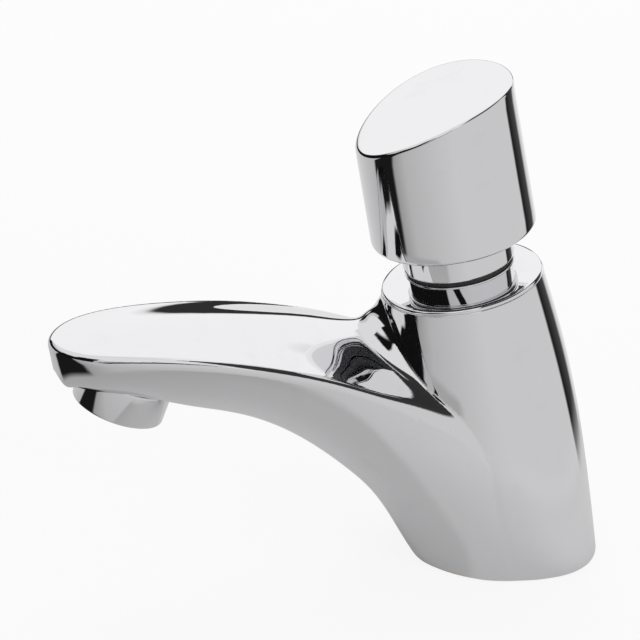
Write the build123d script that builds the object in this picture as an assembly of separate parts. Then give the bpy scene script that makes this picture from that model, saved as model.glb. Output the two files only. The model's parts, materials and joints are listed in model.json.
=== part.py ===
from build123d import *
from math import cos, radians, sin, sqrt
import os

# Push timed tap: a leaning column with a leaf-shaped spout, a slanted push cap and a timed cartridge.
# Millimetres. +Z is up, the spout points to -Y, and the origin is the centre of the base on the deck.

# Column: it leans towards the spout, and its axis passes through the origin
lean = 9.66
body_top = 74.0
column_base_radius = 26.6
column_top_radius = 20.7
base_back_depth = 22.8
column_height_shares = (0.0, 0.25, 0.5, 0.75, 1.0)
column_lean_shares = (0.0, 0.7, 1.0, 1.0, 1.0)
column_flare_shares = (1.0, 0.91, 0.74, 0.44, 0.0)
column_back_shares = (1.0, 0.68, 0.35, 0.12, 0.0)
column_front_shares = (0.76, 0.82, 0.93, 1.0, 1.0)
column_corner_powers = (2.7, 2.5, 2.25, 2.0, 2.0)
column_point_count = 24

# Spout: distances are measured forward from the column's axis, heights along it
spout_reach = 105.4
spout_edge_height = 81.0
spout_edge_halfwidth = 24.7
spout_reach_shares = (-0.045, 0.0, 0.05, 0.114, 0.19, 0.237, 0.285, 0.351, 0.446,
                      0.569, 0.702, 0.835, 0.92, 0.963, 0.987, 0.9975)
spout_width_shares = (0.978, 1.013, 1.008, 0.996, 0.976, 0.963, 0.951, 0.927, 0.887,
                      0.83, 0.753, 0.654, 0.52, 0.38, 0.235, 0.11)
spout_edge_shares = (0.37, 0.40, 0.50, 0.585, 0.66, 0.702, 0.74, 0.787, 0.841,
                     0.897, 0.942, 0.974, 0.989, 0.995, 0.998, 1.0)
spout_keel_shares = (-0.72, -0.70, -0.62, -0.32, -0.067, 0.04, 0.218, 0.374, 0.521,
                     0.646, 0.722, 0.798, 0.826, 0.835, 0.85, 0.885)
spout_flare_shares = (0.048, 0.048, 0.042, 0.032, 0.02, 0.01, 0.005, 0.0, 0.0,
                      0.0, 0.0, 0.0, 0.0, 0.0, 0.0, 0.0)
spout_power_shares = (4.0, 4.0, 3.6, 3.0, 2.8, 2.6, 2.5, 2.5, 2.5,
                      2.6, 2.8, 3.1, 3.0, 2.7, 2.4, 2.1)
spout_side_count = 7
spout_wall = 4.0
spout_solid_count = 6
spout_core_count = 5

# Concave sweep from the column's rim down to the spout's top, smaller towards the sides
root_top = 73.7
root_width = 17.0
root_full_reach = 4.2
root_full_height = 7.0
root_sink = 1.4
root_bite = 0.06
root_angles = (-72, -66, -58, -50, -40, -20, 0, 20, 40, 50, 58, 66, 72)
root_size_shares = (0.02, 0.07, 0.22, 0.46, 0.76, 1.0, 1.0, 1.0, 0.76, 0.46, 0.22, 0.07, 0.02)
root_meeting_count = 20

# Inlet, on the vertical axis under the base
inlet_thread_radius = 9.3
inlet_thread_length = 13.0
strainer_bore_radius = 8.6
strainer_bore_depth = 2.0
strainer_thickness = 1.2
strainer_hole_radius = 0.6
strainer_pitch = 2.2
strainer_ring_count = 3
strainer_first_count = 6
restrictor_bore_radius = 6.5
restrictor_bore_depth = 2.6
restrictor_hole_radius = 2.2
inlet_throat_radius = 5.0
base_recess_inner_radius = 12.6
base_recess_outer_radius = 16.6
base_recess_depth = 15.0
gasket_inner_radius = 18.0
gasket_outer_radius = 21.2
gasket_groove_depth = 2.0
gasket_thickness = 1.9

# Cartridge bores, on the column's axis
valve_cavity_floor = 19.5
valve_cavity_radius = 8.6
cartridge_floor = 34.0
cartridge_bore_radius = 12.6
thread_floor = 60.0
chamber_radius = 19.0
chamber_low = 38.8
chamber_high = 47.5
thread_radius = 14.5
thread_fit = 0.05
slide_fit = 0.1

# Cartridge head: the flange with the visible band, the collar and the neck
flange_inset = 0.2
flange_thickness = 1.2
flange_edge = 0.2
flange_slope_width = 1.5
flange_slope_drop = 0.25
collar_inset = 0.8
collar_height = 2.7
collar_lip_inset = 0.2
collar_lip_height = 0.5
neck_wall = 3.15
neck_spigot_height = 9.0
neck_groove_height = 1.3
neck_sleeve_height = 21.0
neck_roof = 3.0
neck_edge = 0.4
stem_radius = 4.0
stem_flat = 3.4
stem_ring_rise = 4.0
bush_radius = 6.0
bush_height = 4.6
bush_flange_radius = 7.4
bush_flange_height = 1.2
ring_cord_radius = 0.9
neck_ring_inset = 0.6

# Cartridge inside
seat_thickness = 3.6
seat_port_radius = 5.0
seat_lip_radius = 6.3
seat_lip_height = 0.8
sleeve_wall = 2.5
sleeve_top = 64.0
port_waist_height = 8.0
port_waist_wall = 1.3
port_waist_rise = 1.2
port_radius = 2.4
port_count = 6
sleeve_ring_rise = 4.0
stroke = 7.0
piston_top = 61.0
piston_height = 5.0
piston_rod_radius = 2.5
lip_seal_height = 2.2
lip_seal_depth = 1.7
lip_seal_fit = 0.03
valve_washer_radius = 7.4
valve_washer_thickness = 2.6
washer_plate_thickness = 1.2
valve_nut_across = 7.0
valve_nut_thickness = 2.4
valve_nut_side_count = 6
valve_stud_radius = 1.6
spring_mean_radius = 6.9
spring_wire_radius = 0.6
spring_turn_count = 6

# Push cap
cap_gap = 12.4
cap_radius = 21.0
cap_top_inset = 0.3
cap_centre_height = 35.36
cap_slant = 11.82
cap_arch_sag = 2.59
cap_wall = 2.6
cap_roof = 2.6
cap_shoulder = 2.9
cap_bottom_edge = 1.3
cap_top_edge = 0.8
insert_recess = 1.4
insert_web = 3.0
insert_wall_thickness = 3.9
insert_neck_fit = 0.25
web_clearance = 0.6
cap_screw_head_radius = 4.4
cap_screw_head_height = 2.2
cap_screw_radius = 2.0
cap_screw_length = 9.0

# Outlet and aerator, on an axis that leans so that the jet falls forward
outlet_setback = 5.2
outlet_height = 42.5
outlet_tilt = 20.0
aerator_radius = 12.0
aerator_skirt_height = 8.8
aerator_thread_radius = 11.0
aerator_thread_height = 3.0
aerator_bore_radius = 9.8
aerator_lip_radius = 9.0
aerator_lip_height = 0.8
aerator_edge = 0.5
insert_body_radius = 9.7
insert_wall = 1.5
insert_plate = 1.5
insert_hole_radius = 0.8
insert_hole_circle = 5.6
insert_hole_count = 12
mesh_thickness = 0.7
mesh_hole = 1.5
mesh_pitch = 2.2
mesh_gap_count = 6
outlet_washer_thickness = 1.4
outlet_washer_radius = 10.8
outlet_chamber_radius = 8.0
outlet_chamber_height = 3.2
waterway_radius = 4.0
waterway_start_reach = 5.0
waterway_start_height = 43.5
waterway_end_drop = 0.8

# One overrun serves every cut, and what stands on its place is centred there
overrun = 1.0
standing = (Align.CENTER, Align.CENTER, Align.MIN)

os.makedirs("parts", exist_ok=True)

lean_turn = radians(lean)
column = Plane(origin=(0, 0, 0), x_dir=(1, 0, 0), z_dir=(0, -sin(lean_turn), cos(lean_turn)))
tilt_turn = radians(outlet_tilt)
outlet_reach = spout_reach - outlet_setback
outlet = Plane(
    origin=(0, -outlet_reach, outlet_height),
    x_dir=(1, 0, 0),
    z_dir=(0, sin(tilt_turn), cos(tilt_turn)),
)
rim = body_top + flange_thickness

# The neck and the collar follow the cap that slides over them
cap_top_radius = cap_radius - cap_top_inset
cap_bore_radius = cap_radius - cap_wall
insert_radius = cap_bore_radius - thread_fit
insert_inner = insert_radius - insert_wall_thickness
neck_radius = insert_inner - insert_neck_fit
neck_spigot_radius = neck_radius - neck_wall - thread_fit
neck_ring_radius = neck_radius - neck_ring_inset
collar_radius = neck_radius - collar_inset
collar_lip_radius = neck_radius - collar_lip_inset
flange_radius = column_top_radius - flange_inset


# Helpers


def turned(outline, frame=column):
    """Spin an outline of (radius, height) points about the axis of a frame."""
    points = [(radius, 0, height) for radius, height in outline]
    face = make_face(Polyline(*points, close=True))
    return frame * revolve(face, Axis.Z, 360)


def disc(radius, low, high, frame=column):
    """Return a plain round bar between two heights."""
    return turned([(0, low), (radius, low), (radius, high), (0, high)], frame)


def tube(inner, outer, low, high, frame=column):
    """Return a ring of square section between two heights."""
    return turned([(inner, low), (outer, low), (outer, high), (inner, high)], frame)


def cord_ring(middle, thickness, height, frame=column):
    """Return a ring of round cord."""
    section = Plane.XZ * Pos(middle, height) * Circle(thickness)
    return frame * revolve(section, Axis.Z, 360)


def between(places, values, place):
    """Read a table of values at a place by straight lines between its rows."""
    for low, high, first, second in zip(places, places[1:], values, values[1:]):
        if place <= high:
            return first + (second - first) * (place - low) / (high - low)
    return values[-1]


def signed_power(value, power):
    return (1 if value >= 0 else -1) * abs(value) ** power


# Body: outer form


def column_size(share):
    """Return the column's half width, back depth and front depth at a share of its height."""
    flare = between(column_height_shares, column_flare_shares, share)
    back = between(column_height_shares, column_back_shares, share)
    front = between(column_height_shares, column_front_shares, share)
    half = column_top_radius + (column_base_radius - column_top_radius) * flare
    return half, half - (column_base_radius - base_back_depth) * back, half * front


def column_form():
    """Loft the leaning column from its flat base to the round top."""
    sections = []
    rows = zip(column_height_shares, column_lean_shares, column_corner_powers)
    for height_share, lean_share, power in rows:
        half, back, front = column_size(height_share)
        height = body_top * height_share
        turn = lean_turn * lean_share
        frame = Plane(
            origin=(0, -height * sin(lean_turn), height * cos(lean_turn)),
            x_dir=(1, 0, 0),
            z_dir=(0, -sin(turn), cos(turn)),
        )
        points = []
        for number in range(column_point_count):
            angle = radians(360 * number / column_point_count)
            x = half * signed_power(cos(angle), 2 / power)
            if sin(angle) >= 0:
                y = back * signed_power(sin(angle), 2 / power)
            else:
                x = half * cos(angle)
                y = front * sin(angle)
            points.append((x, y))
        sections.append(frame * make_face(Spline(*points, periodic=True)))
    return loft(sections)


def spout_form(wall=0, first=0, last=None):
    """Loft the spout, or its core inside a wall, through U-shaped sections with flat tops."""
    sections = []
    rows = list(zip(spout_reach_shares, spout_width_shares, spout_edge_shares,
                    spout_keel_shares, spout_flare_shares, spout_power_shares))
    for reach_share, width_share, edge_share, keel_share, flare, power in rows[first:last]:
        reach = spout_reach * reach_share
        half = spout_edge_halfwidth * width_share - wall
        edge = spout_edge_height * edge_share - wall
        depth = edge - wall - spout_edge_height * keel_share
        side = []
        for step in range(spout_side_count):
            angle = radians(90 * step / (spout_side_count - 1))
            down = depth * signed_power(sin(angle), 2 / power)
            across = (half + flare * down) * signed_power(cos(angle), 2 / power)
            side.append((across, -reach, edge - down))
        near = side[:-1] + [(0, -reach, edge - depth)]
        far = [(-x, y, z) for x, y, z in reversed(side[:-1])]
        under = Spline(*(near + far))
        top = Line(far[-1], near[0])
        sections.append(make_face([under, top]))
    return column * loft(sections)


def edge_height(reach):
    """Return the height of the spout's flat top at a distance forward of the column's axis."""
    places = [spout_reach * share for share in spout_reach_shares]
    heights = [spout_edge_height * share for share in spout_edge_shares]
    return between(places, heights, reach)


def column_radius(turn, height):
    half, _, front = column_size(height / body_top)
    return 1 / sqrt((sin(turn) / half) ** 2 + (cos(turn) / front) ** 2)


def root_form():
    """Loft the concave root round the front of the column."""
    sections = []
    for angle, size in zip(root_angles, root_size_shares):
        turn = radians(angle)
        height = body_top
        for _ in range(root_meeting_count):
            height = edge_height(column_radius(turn, height) * cos(turn))
        radius = column_radius(turn, height)
        wall_height = height + (root_top - height) * size
        shelf_radius = radius + root_width * size
        wall = (column_radius(turn, wall_height) - root_bite, wall_height)
        shelf = (shelf_radius, edge_height(shelf_radius * cos(turn)) - root_bite)
        radius -= root_bite
        height -= root_bite
        sink = root_sink * size
        outline = [
            shelf,
            (shelf[0], shelf[1] - sink),
            (radius - sink, height - sink),
            (wall[0] - sink, wall[1]),
            wall,
            (radius + root_full_reach * size, height + root_full_height * size),
        ]
        points = [(r * sin(turn), -r * cos(turn), s) for r, s in outline]
        corner = points.pop()
        curve = Bezier(points[-1], corner, points[0])
        sections.append(make_face([curve, Polyline(*points)]))
    return column * loft(sections)


def key_flats(flat, low, high):
    """Return two blocks that cut matching flats on the stem between two heights."""
    side = 4 * stem_radius
    block = Box(side, stem_radius, high - low, align=(Align.CENTER, Align.MIN, Align.MIN))
    front = Pos(0, flat, low) * block
    return column * (front + mirror(front, Plane.XZ))


def save(name, shape):
    export_step(shape, f"parts/{name}.step")
    count = len(shape.solids())
    print(f"{name}: {count} solid(s), {shape.volume:.1f} mm3, valid {shape.is_valid}")


# Tap body: one brass casting with its bores

casting = column_form() + spout_form() + root_form()
deck_block = 4 * (spout_reach + body_top)
casting -= Pos(0, 0, -deck_block / 2) * Box(deck_block, deck_block, deck_block)

level = Plane.XY
casting -= disc(inlet_thread_radius, -overrun, inlet_thread_length, level)
strainer_top = inlet_thread_length + strainer_bore_depth
casting -= disc(strainer_bore_radius, inlet_thread_length, strainer_top, level)
restrictor_top = strainer_top + restrictor_bore_depth
casting -= disc(restrictor_bore_radius, strainer_top, restrictor_top, level)
casting -= disc(inlet_throat_radius, restrictor_top, valve_cavity_floor + inlet_throat_radius / 2, level)
casting -= tube(base_recess_inner_radius, base_recess_outer_radius, -overrun, base_recess_depth, level)
casting -= tube(gasket_inner_radius, gasket_outer_radius, -overrun, gasket_groove_depth, level)

casting -= disc(valve_cavity_radius, valve_cavity_floor, cartridge_floor)
casting -= disc(cartridge_bore_radius, cartridge_floor, thread_floor)
casting -= disc(chamber_radius, chamber_low, chamber_high)
casting -= spout_form(spout_wall, spout_solid_count, spout_solid_count + spout_core_count)
casting -= disc(thread_radius + thread_fit, thread_floor, body_top + overrun)

aerator_top = aerator_skirt_height + aerator_thread_height
washer_top = aerator_top + outlet_washer_thickness
casting -= disc(aerator_radius + slide_fit, -aerator_skirt_height, aerator_skirt_height, outlet)
casting -= disc(aerator_thread_radius + thread_fit, aerator_skirt_height, washer_top, outlet)
chamber_top = washer_top + outlet_chamber_height
casting -= disc(outlet_chamber_radius, washer_top, chamber_top, outlet)

channel_start = column.from_local_coords(Vector(0, -waterway_start_reach, waterway_start_height))
channel_end = outlet.from_local_coords(Vector(0, 0, chamber_top - waterway_end_drop))
channel_run = channel_end - channel_start
channel = Plane(origin=channel_start, x_dir=(1, 0, 0), z_dir=channel_run)
casting -= disc(waterway_radius, 0, channel_run.length, channel)
save("tap_body", casting)

# Under the base and in the inlet

save("base_gasket", tube(gasket_inner_radius + slide_fit, gasket_outer_radius - slide_fit,
                         gasket_groove_depth - gasket_thickness, gasket_groove_depth, level))

strainer_low = strainer_top - strainer_thickness
strainer = disc(strainer_bore_radius - slide_fit, strainer_low, strainer_top, level)
for ring in range(1, strainer_ring_count + 1):
    reach = ring * strainer_pitch
    holes = PolarLocations(reach, strainer_first_count * ring)
    strainer -= Pos(0, 0, strainer_low - overrun) * holes * Cylinder(
        strainer_hole_radius, strainer_thickness + 2 * overrun, align=standing)
save("inlet_strainer", strainer)

restrictor_radius = restrictor_bore_radius - slide_fit
restrictor = tube(restrictor_hole_radius, restrictor_radius, strainer_top, restrictor_top, level)
save("flow_restrictor", restrictor)

# Cartridge: seat, sleeve and their rings

seat_low = cartridge_floor
seat_top = seat_low + seat_thickness
bore_slide = cartridge_bore_radius - slide_fit
ring_floor = bore_slide - 2 * ring_cord_radius
ring_middle = ring_floor + ring_cord_radius
seat_groove_low = seat_low + seat_thickness / 2 - ring_cord_radius
seat = turned([
    (seat_port_radius, seat_low - seat_lip_height),
    (seat_lip_radius, seat_low - seat_lip_height),
    (seat_lip_radius, seat_low),
    (bore_slide, seat_low),
    (bore_slide, seat_groove_low),
    (ring_floor, seat_groove_low),
    (ring_floor, seat_groove_low + 2 * ring_cord_radius),
    (bore_slide, seat_groove_low + 2 * ring_cord_radius),
    (bore_slide, seat_top),
    (seat_port_radius, seat_top),
])
save("valve_seat", seat)
save("seat_o_ring", cord_ring(ring_middle, ring_cord_radius, seat_groove_low + ring_cord_radius))

sleeve_inner = bore_slide - sleeve_wall
waist_low = seat_top + port_waist_rise
waist_high = waist_low + port_waist_height
waist_radius = sleeve_inner + port_waist_wall
sleeve_groove_low = waist_high + sleeve_ring_rise - ring_cord_radius
sleeve_groove_high = sleeve_groove_low + 2 * ring_cord_radius
sleeve = turned([
    (sleeve_inner, seat_top),
    (bore_slide, seat_top),
    (bore_slide, waist_low),
    (waist_radius, waist_low),
    (waist_radius, waist_high),
    (bore_slide, waist_high),
    (bore_slide, sleeve_groove_low),
    (ring_floor, sleeve_groove_low),
    (ring_floor, sleeve_groove_high),
    (bore_slide, sleeve_groove_high),
    (bore_slide, sleeve_top),
    (sleeve_inner, sleeve_top),
])
port_height = (waist_low + waist_high) / 2
port_bar = Rot(0, 90, 0) * Cylinder(port_radius, bore_slide, align=standing)
for number in range(port_count):
    sleeve -= column * Pos(0, 0, port_height) * Rot(0, 0, 360 * number / port_count) * port_bar
save("cartridge_sleeve", sleeve)
save("sleeve_o_ring", cord_ring(ring_middle, ring_cord_radius, sleeve_groove_low + ring_cord_radius))

# Cartridge head: it screws into the body and carries the neck

collar_top = rim + collar_height
lip_top = collar_top + collar_lip_height
groove_top = lip_top + neck_groove_height
spigot_top = lip_top + neck_spigot_height
stem_bore = stem_radius + slide_fit
stem_groove_radius = stem_bore + 2 * ring_cord_radius
stem_groove_low = sleeve_top + stem_ring_rise
stem_groove_high = stem_groove_low + 2 * ring_cord_radius
sleeve_pocket = bore_slide + slide_fit
head = turned([
    (stem_bore, sleeve_top),
    (sleeve_pocket, sleeve_top),
    (sleeve_pocket, thread_floor),
    (thread_radius, thread_floor),
    (thread_radius, body_top),
    (flange_radius - flange_edge, body_top),
    (flange_radius, body_top + flange_edge),
    (flange_radius, rim - flange_slope_drop - flange_edge),
    (flange_radius - flange_edge, rim - flange_slope_drop),
    (flange_radius - flange_slope_width, rim),
    (collar_radius, rim),
    (collar_radius, collar_top),
    (collar_lip_radius, collar_top),
    (collar_lip_radius, lip_top),
    (neck_spigot_radius, lip_top),
    (neck_spigot_radius, spigot_top),
    (stem_bore, spigot_top),
    (stem_bore, stem_groove_high),
    (stem_groove_radius, stem_groove_high),
    (stem_groove_radius, stem_groove_low),
    (stem_bore, stem_groove_low),
])
save("cartridge_head", head)
stem_ring_middle = stem_bore + ring_cord_radius
save("stem_o_ring", cord_ring(stem_ring_middle, ring_cord_radius, stem_groove_low + ring_cord_radius))
save("neck_ring", tube(neck_spigot_radius + thread_fit, neck_ring_radius, lip_top, groove_top))

neck_top = groove_top + neck_sleeve_height
neck_ceiling = neck_top - neck_roof
neck = turned([
    (neck_spigot_radius + thread_fit, groove_top),
    (neck_radius - neck_edge, groove_top),
    (neck_radius, groove_top + neck_edge),
    (neck_radius, neck_top - neck_edge),
    (neck_radius - neck_edge, neck_top),
    (bush_radius + thread_fit, neck_top),
    (bush_radius + thread_fit, neck_ceiling),
    (neck_spigot_radius + thread_fit, neck_ceiling),
])
save("neck_sleeve", neck)

# Timing piston, valve and stem: they move with the cap

piston_low = piston_top - piston_height
piston_radius = sleeve_inner - slide_fit
seal_floor = piston_radius - lip_seal_depth
seal_low = (piston_low + piston_top) / 2 - lip_seal_height / 2
washer_top_height = seat_low - seat_lip_height
washer_low = washer_top_height - valve_washer_thickness
plate_low = washer_low - washer_plate_thickness
nut_low = plate_low - valve_nut_thickness
save("piston", turned([
    (0, washer_top_height),
    (piston_rod_radius, washer_top_height),
    (piston_rod_radius, piston_low),
    (piston_radius, piston_low),
    (piston_radius, seal_low),
    (seal_floor, seal_low),
    (seal_floor, seal_low + lip_seal_height),
    (piston_radius, seal_low + lip_seal_height),
    (piston_radius, piston_top),
    (0, piston_top),
]) + disc(valve_stud_radius, nut_low, washer_top_height))
seal_lip = sleeve_inner - lip_seal_fit
save("piston_lip_seal", turned([
    (seal_floor, seal_low),
    (seal_lip - lip_seal_depth / 2, seal_low),
    (seal_lip, seal_low + lip_seal_height / 2),
    (seal_lip, seal_low + lip_seal_height),
    (seal_lip - lip_seal_depth / 3, seal_low + lip_seal_height),
    (seal_lip - lip_seal_depth / 2, seal_low + lip_seal_height / 2),
    (seal_floor + lip_seal_depth / 4, seal_low + lip_seal_height),
    (seal_floor, seal_low + lip_seal_height),
]))
stud_bore = valve_stud_radius + thread_fit
save("valve_washer", tube(stud_bore, valve_washer_radius, washer_low, washer_top_height))
save("washer_plate", tube(stud_bore, valve_washer_radius, plate_low, washer_low))
nut_section = RegularPolygon(valve_nut_across / 2, valve_nut_side_count, major_radius=False)
nut = extrude(nut_section, valve_nut_thickness)
nut = column * Pos(0, 0, nut_low) * nut - disc(stud_bore, nut_low - overrun, plate_low + overrun)
save("valve_nut", nut)

spring_low = seat_top + spring_wire_radius
spring_high = piston_low - spring_wire_radius
spring_rise = spring_high - spring_low
spring_path = Helix(spring_rise / spring_turn_count, spring_rise, spring_mean_radius)
spring_start = spring_path @ 0
spring_section = Plane(origin=spring_start, z_dir=spring_path % 0) * Circle(spring_wire_radius)
spring = column * Pos(0, 0, spring_low) * sweep(spring_section, spring_path)
save("return_spring", spring)

# Push cap: a slanted shell over a plastic insert that is screwed to the stem

cap_low = rim + cap_gap
web_low = neck_top + bush_flange_height + stroke + web_clearance
web_top = web_low + insert_web
flats_low = neck_ceiling - stroke - overrun
stem = disc(stem_radius, piston_top, web_top) - key_flats(stem_flat, flats_low, web_top + overrun)
screw_tip = web_top - cap_screw_length
stem -= disc(cap_screw_radius + thread_fit, screw_tip - slide_fit, web_top + overrun)
save("stem", stem)

bush_top = neck_top + bush_flange_height
bush_key = disc(stem_bore, neck_ceiling - overrun, bush_top + overrun)
bush_key -= key_flats(stem_flat + slide_fit, neck_ceiling - 2 * overrun, bush_top + 2 * overrun)
bush = turned([
    (0, neck_ceiling),
    (bush_radius, neck_ceiling),
    (bush_radius, neck_top),
    (bush_flange_radius, neck_top),
    (bush_flange_radius, bush_top),
    (0, bush_top),
])
save("stem_bush", bush - bush_key)

insert_key = disc(stem_radius + thread_fit, web_low - overrun, web_top + overrun)
insert_key -= key_flats(stem_flat + thread_fit, web_low - 2 * overrun, web_top + 2 * overrun)
insert = turned([
    (insert_inner, cap_low + insert_recess),
    (insert_radius, cap_low + insert_recess),
    (insert_radius, web_top),
    (0, web_top),
    (0, web_low),
    (insert_inner, web_low),
])
save("cap_insert", insert - insert_key)

screw_head_top = web_top + cap_screw_head_height
screw = disc(cap_screw_head_radius, web_top, screw_head_top) + disc(cap_screw_radius, screw_tip, web_top)
save("cap_screw", screw)

cap_middle = cap_low + cap_centre_height
cap_high = cap_middle + cap_slant


def arch_block(drop):
    """Return the block above the cap's slanted arch, lowered by a drop."""
    chord = cap_middle - cap_arch_sag - drop
    front = (0, -cap_radius, chord - cap_slant / 2)
    middle = (0, 0, cap_middle - drop)
    back = (0, cap_radius, chord + cap_slant / 2)
    high = cap_high + cap_radius
    arc = ThreePointArc(front, middle, back)
    sides = Polyline(back, (0, cap_radius, high), (0, -cap_radius, high), front)
    face = make_face([arc, sides])
    return column * extrude(face, 2 * cap_radius, (1, 0, 0), both=True)


cap_taper = (cap_radius - cap_top_radius) / cap_centre_height
cap = turned([
    (0, cap_low),
    (cap_radius, cap_low),
    (cap_radius - cap_taper * (cap_high - cap_low), cap_high),
    (0, cap_high),
])
cap -= arch_block(0)
along = Axis(origin=column.origin, direction=column.z_dir)
cap = fillet(cap.edges().sort_by(along)[0], cap_bottom_edge)
cap = fillet(cap.faces().sort_by(along)[-1].edges(), cap_top_edge)
cap -= disc(cap_bore_radius, cap_low - overrun, web_top)
cap -= disc(cap_bore_radius - cap_shoulder, web_top - overrun, cap_high) - arch_block(cap_roof)
save("push_cap", cap)

# Aerator in the spout's outlet

mesh_low = aerator_lip_height
mesh_top = mesh_low + mesh_thickness
save("aerator_housing", turned([
    (aerator_lip_radius, 0),
    (aerator_radius - aerator_edge, 0),
    (aerator_radius, aerator_edge),
    (aerator_radius, aerator_skirt_height),
    (aerator_thread_radius, aerator_skirt_height),
    (aerator_thread_radius, aerator_top),
    (aerator_bore_radius, aerator_top),
    (aerator_bore_radius, aerator_lip_height),
    (aerator_lip_radius, aerator_lip_height),
], outlet))

mesh = disc(insert_body_radius, mesh_low, mesh_top, outlet)
mesh_square = Box(mesh_hole, mesh_hole, mesh_thickness + 2 * overrun, align=standing)
mesh_reach = insert_body_radius - insert_wall - mesh_hole / sqrt(2)
for column_number in range(mesh_gap_count + 1):
    for row_number in range(mesh_gap_count + 1):
        x = (column_number - mesh_gap_count / 2) * mesh_pitch
        y = (row_number - mesh_gap_count / 2) * mesh_pitch
        if sqrt(x * x + y * y) < mesh_reach:
            mesh -= outlet * Pos(x, y, mesh_low - overrun) * mesh_square
save("aerator_mesh", mesh)

aerator_body = turned([
    (insert_body_radius - insert_wall, mesh_top),
    (insert_body_radius, mesh_top),
    (insert_body_radius, aerator_top),
    (0, aerator_top),
    (0, aerator_top - insert_plate),
    (insert_body_radius - insert_wall, aerator_top - insert_plate),
], outlet)
plate_drill = Cylinder(insert_hole_radius, insert_plate + 2 * overrun, align=standing)
for number in range(insert_hole_count):
    turn = Rot(0, 0, 360 * number / insert_hole_count)
    place = Pos(insert_hole_circle, 0, aerator_top - insert_plate - overrun)
    aerator_body -= outlet * turn * place * plate_drill
save("aerator_insert", aerator_body)

save("outlet_washer", tube(outlet_chamber_radius, outlet_washer_radius, aerator_top, washer_top, outlet))
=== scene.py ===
import json
from math import cos, pi, radians, sin, sqrt

import bmesh
import bpy
import numpy as np
from bpy.props import FloatProperty, FloatVectorProperty, IntProperty, PointerProperty
from mathutils import Matrix, Vector


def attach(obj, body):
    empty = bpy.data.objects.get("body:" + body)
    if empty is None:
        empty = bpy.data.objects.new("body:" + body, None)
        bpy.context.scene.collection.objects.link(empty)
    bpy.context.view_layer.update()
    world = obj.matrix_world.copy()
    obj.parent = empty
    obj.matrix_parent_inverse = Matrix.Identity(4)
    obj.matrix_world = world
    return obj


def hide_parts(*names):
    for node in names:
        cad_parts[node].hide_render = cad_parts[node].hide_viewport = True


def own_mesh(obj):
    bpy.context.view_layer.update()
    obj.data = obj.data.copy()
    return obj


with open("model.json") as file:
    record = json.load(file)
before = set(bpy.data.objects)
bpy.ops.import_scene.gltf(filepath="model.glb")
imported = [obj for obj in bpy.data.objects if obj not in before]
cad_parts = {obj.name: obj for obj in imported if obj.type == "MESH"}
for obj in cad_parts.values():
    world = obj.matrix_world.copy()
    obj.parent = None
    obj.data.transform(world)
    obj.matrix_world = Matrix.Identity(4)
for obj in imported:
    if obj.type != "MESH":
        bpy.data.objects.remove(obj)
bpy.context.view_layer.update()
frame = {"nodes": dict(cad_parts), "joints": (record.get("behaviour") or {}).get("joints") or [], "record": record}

bl_info = {
    "name": "Push timed tap",
    "version": (1, 0, 0),
    "blender": (4, 5, 0),
    "location": "View3D > Sidebar > Tap",
    "description": "Dresses the push timed tap: cast body, cap, neck, aerator and studio",
    "category": "Object",
}

MM = 0.001

# The column leans forward by this angle, and its axis passes through the origin
LEAN = radians(9.66)
AXIS = Vector((0, -sin(LEAN), cos(LEAN)))

# The outlet's axis leans so that the jet falls forward
TILT = radians(20.0)
OUTLET = Vector((0, -0.1002, 0.0425))

COLUMN_FRAME = Matrix.Rotation(LEAN, 4, "X")
OUTLET_FRAME = Matrix.Translation(OUTLET) @ Matrix.Rotation(-TILT, 4, "X")


# Sizes and finishes


class TapSizes(bpy.types.PropertyGroup):
    """Sizes of the dressed pieces"""

    skin_grain: FloatProperty(
        name="Skin grain", description="Side of one face of the cast body's skin",
        default=0.00055, min=0.0003, max=0.003, unit="LENGTH", precision=5)
    edge_radius: FloatProperty(
        name="Leaf edge", description="Rounding of the edge round the spout's flat top",
        default=0.0008, min=0.0001, max=0.003, unit="LENGTH", precision=5)
    root_radius: FloatProperty(
        name="Column root", description="Softness of the crease between spout and column",
        default=0.0010, min=0.0005, max=0.02, unit="LENGTH", precision=4)
    round_steps: IntProperty(
        name="Round steps", description="Segments round each turned piece",
        default=192, min=32, max=512)
    flange_radius: FloatProperty(
        name="Flange", description="Radius of the cartridge head's flange",
        default=0.0205, unit="LENGTH", precision=4)
    neck_radius: FloatProperty(
        name="Neck", description="Radius of the neck under the cap",
        default=0.0142, unit="LENGTH", precision=4)
    cap_radius: FloatProperty(
        name="Cap", description="Radius of the push cap at its lower edge",
        default=0.021, unit="LENGTH", precision=4)
    cap_slant: FloatProperty(
        name="Cap slant", description="Rise of the cap's top from front to back",
        default=0.01182, unit="LENGTH", precision=4)


class TapFinishes(bpy.types.PropertyGroup):
    """Colours and polish of the tap's materials"""

    chrome: FloatVectorProperty(
        name="Chrome", description="Colour of the chrome plating",
        subtype="COLOR", size=3, default=(0.86, 0.86, 0.875), min=0, max=1)
    polish: FloatProperty(
        name="Polish", description="Roughness of the polished chrome",
        default=0.018, min=0, max=1, subtype="FACTOR")
    brass: FloatVectorProperty(
        name="Brass", description="Colour of bare machined brass",
        subtype="COLOR", size=3, default=(0.76, 0.56, 0.27), min=0, max=1)
    rubber: FloatVectorProperty(
        name="Rubber", description="Colour of the black seals",
        subtype="COLOR", size=3, default=(0.018, 0.018, 0.019), min=0, max=1)


def sizes():
    return bpy.context.scene.tap_sizes


def finishes():
    return bpy.context.scene.tap_finishes


# Shader maths


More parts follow.
